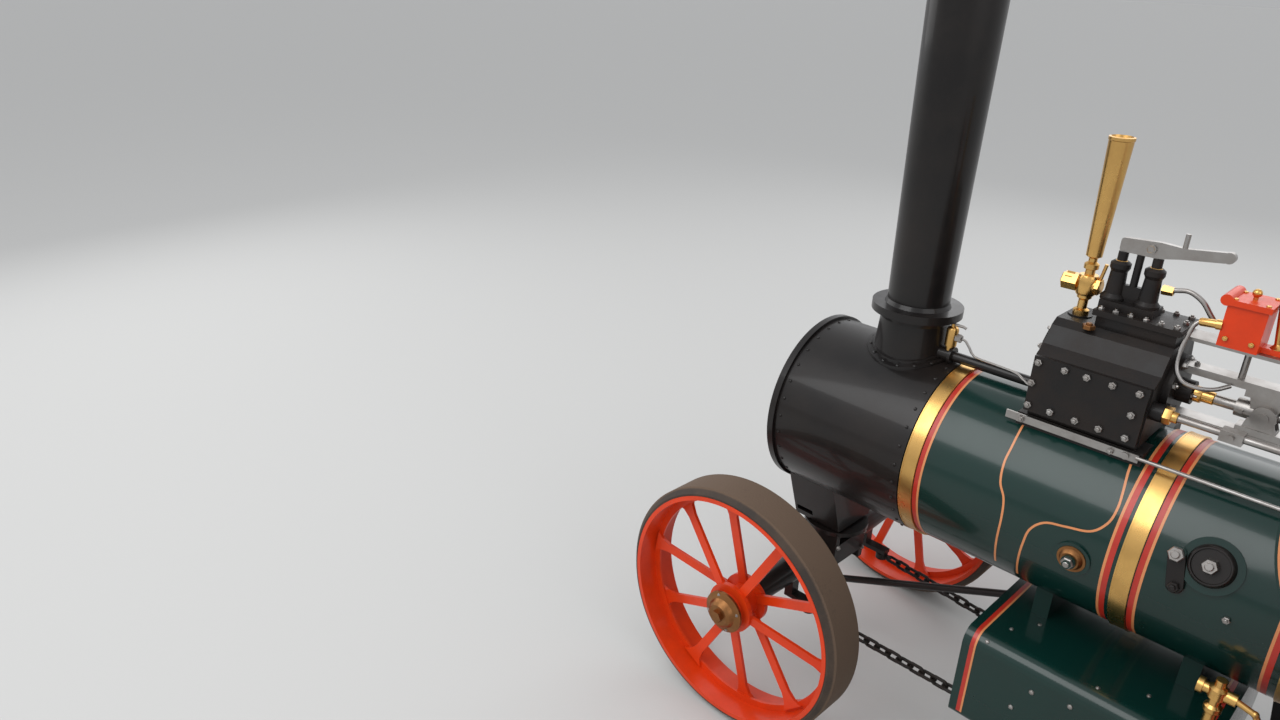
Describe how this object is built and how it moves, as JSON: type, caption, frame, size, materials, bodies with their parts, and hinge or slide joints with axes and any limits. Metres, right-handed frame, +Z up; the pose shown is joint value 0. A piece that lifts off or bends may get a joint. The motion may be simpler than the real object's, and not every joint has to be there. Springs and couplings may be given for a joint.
{
  "type": "steam_traction_engine",
  "caption": "Small-scale steam traction engine: lagged boiler with brass bands, tall chimney, flywheel, spoked wheels, belly tank, geared rear axle, chain steering and coal tender.",
  "frame": {"origin": "bounding box bottom centre, on the ground under the engine", "axes": "X forward, Y to the engine's left, Z up"},
  "size_m": [2.1264, 1.104, 1.56],
  "materials": {
    "green_paint": "gloss",
    "black_paint": "gloss",
    "red_paint": "gloss",
    "steel": "satin",
    "brass": "polished",
    "copper": "polished",
    "cast_iron": "satin",
    "rubber": "matte"
  },
  "bodies": {
    "engine": {"boiler_barrel": "green_paint", "brass_bands": "brass", "boiler_fittings": "brass", "smokebox": "black_paint", "chimney_base": "black_paint", "chimney": "black_paint", "chimney_cap": "copper", "perch_bracket": "black_paint", "perch_stay": "black_paint", "firebox": "cast_iron", "ash_pan": "cast_iron", "hornplate_left": "green_paint", "hornplate_right": "green_paint", "shaft_bearings": "brass", "cylinder_block": "cast_iron", "whistle": "brass", "safety_valves": "steel", "valve_lever": "steel", "lubricator": "red_paint", "oil_pipes": "copper", "exhaust_pipe": "black_paint", "drain_gear": "steel", "slide_bars": "steel", "crosshead": "steel", "connecting_rod": "steel", "valve_gear": "steel", "motion_bracket": "black_paint", "crankshaft": "steel", "belly_tank": "green_paint", "tank_valve": "brass", "tender": "green_paint", "footplate": "black_paint", "drawbar": "black_paint", "gauges": "brass", "reversing_gear": "steel", "steering_brackets": "black_paint"},
    "front_axle": {"front_axle": "black_paint"},
    "front_wheel_left": {"front_wheel_left": "red_paint", "front_tyre_left": "rubber", "front_cap_left": "brass"},
    "front_wheel_right": {"front_wheel_right": "red_paint", "front_tyre_right": "rubber", "front_cap_right": "brass"},
    "rear_axle": {"rear_axle": "steel", "final_gear": "cast_iron", "rear_wheel_left": "red_paint", "rear_tyre_left": "rubber", "rear_cap_left": "brass"},
    "rear_wheel_right": {"rear_wheel_right": "red_paint", "rear_tyre_right": "rubber", "rear_cap_right": "brass"},
    "second_shaft": {"second_shaft": "steel"},
    "flywheel": {"flywheel": "green_paint"},
    "steering_wheel": {"steering_wheel": "red_paint"},
    "chain_barrel": {"chain_barrel": "cast_iron"},
    "chain_left": {"chain_left": "cast_iron"},
    "chain_right": {"chain_right": "cast_iron"},
    "smokebox_door": {"smokebox_door": "black_paint"},
    "fire_door": {"fire_door": "black_paint"},
    "tank_lid": {"tank_lid": "brass"}
  },
  "joints": [
    {"name": "steer", "type": "hinge", "parent": "engine", "child": "front_axle", "pos_m": [0.79675, 0, 0.3], "axis": [0, 0, 1], "range_deg": [-20, 20]},
    {"name": "front_left_spin", "type": "hinge", "parent": "front_axle", "child": "front_wheel_left", "pos_m": [0.79675, 0.3425, 0.2665], "axis": [0, 1, 0], "continuous": true},
    {"name": "front_right_spin", "type": "hinge", "parent": "front_axle", "child": "front_wheel_right", "pos_m": [0.79675, -0.3425, 0.2665], "axis": [0, 1, 0], "continuous": true},
    {"name": "rear_axle_spin", "type": "hinge", "parent": "engine", "child": "rear_axle", "pos_m": [-0.54325, 0, 0.419], "axis": [0, 1, 0], "continuous": true},
    {"name": "rear_right_spin", "type": "hinge", "parent": "engine", "child": "rear_wheel_right", "pos_m": [-0.54325, -0.425, 0.419], "axis": [0, 1, 0], "continuous": true},
    {"name": "second_shaft_spin", "type": "hinge", "parent": "engine", "child": "second_shaft", "pos_m": [-0.46888, 0, 0.71118], "axis": [0, 1, 0], "continuous": true},
    {"name": "flywheel_spin", "type": "hinge", "parent": "engine", "child": "flywheel", "pos_m": [-0.28325, 0.28, 0.868], "axis": [0, 1, 0], "continuous": true},
    {"name": "column_turn", "type": "hinge", "parent": "engine", "child": "steering_wheel", "pos_m": [-0.60325, 0.2142, 1], "axis": [-0.5484, 0, 0.8362], "range_deg": [-961, 961]},
    {"name": "barrel_turn", "type": "hinge", "parent": "engine", "child": "chain_barrel", "pos_m": [-0.09625, 0, 0.15], "axis": [0, 1, 0], "range_deg": [-81, 81]},
    {"name": "chain_left_pin", "type": "hinge", "parent": "front_axle", "child": "chain_left", "pos_m": [0.74675, 0.15, 0.18], "axis": [0, 0, 1], "range_deg": [-20, 20]},
    {"name": "chain_right_pin", "type": "hinge", "parent": "front_axle", "child": "chain_right", "pos_m": [0.74675, -0.15, 0.18], "axis": [0, 0, 1], "range_deg": [-20, 20]},
    {"name": "smokebox_door_hinge", "type": "hinge", "parent": "engine", "child": "smokebox_door", "pos_m": [0.89975, -0.157, 0.606], "axis": [0, 0, 1], "range_deg": [-95, 0]},
    {"name": "fire_door_hinge", "type": "hinge", "parent": "engine", "child": "fire_door", "pos_m": [-0.39725, 0.084, 0.49], "axis": [0, 0, 1], "range_deg": [-100, 0]},
    {"name": "tank_lid_hinge", "type": "hinge", "parent": "engine", "child": "tank_lid", "pos_m": [-0.92925, 0.12, 0.764], "axis": [0, 1, 0], "range_deg": [-100, 0]}
  ],
  "couplings": [
    {"joint": "second_shaft_spin", "follows": "rear_axle_spin", "ratio": -4.1538},
    {"joint": "barrel_turn", "follows": "steer", "ratio": -4},
    {"joint": "column_turn", "follows": "steer", "ratio": 48},
    {"joint": "chain_left_pin", "follows": "steer", "ratio": -1},
    {"joint": "chain_right_pin", "follows": "steer", "ratio": -1}
  ]
}
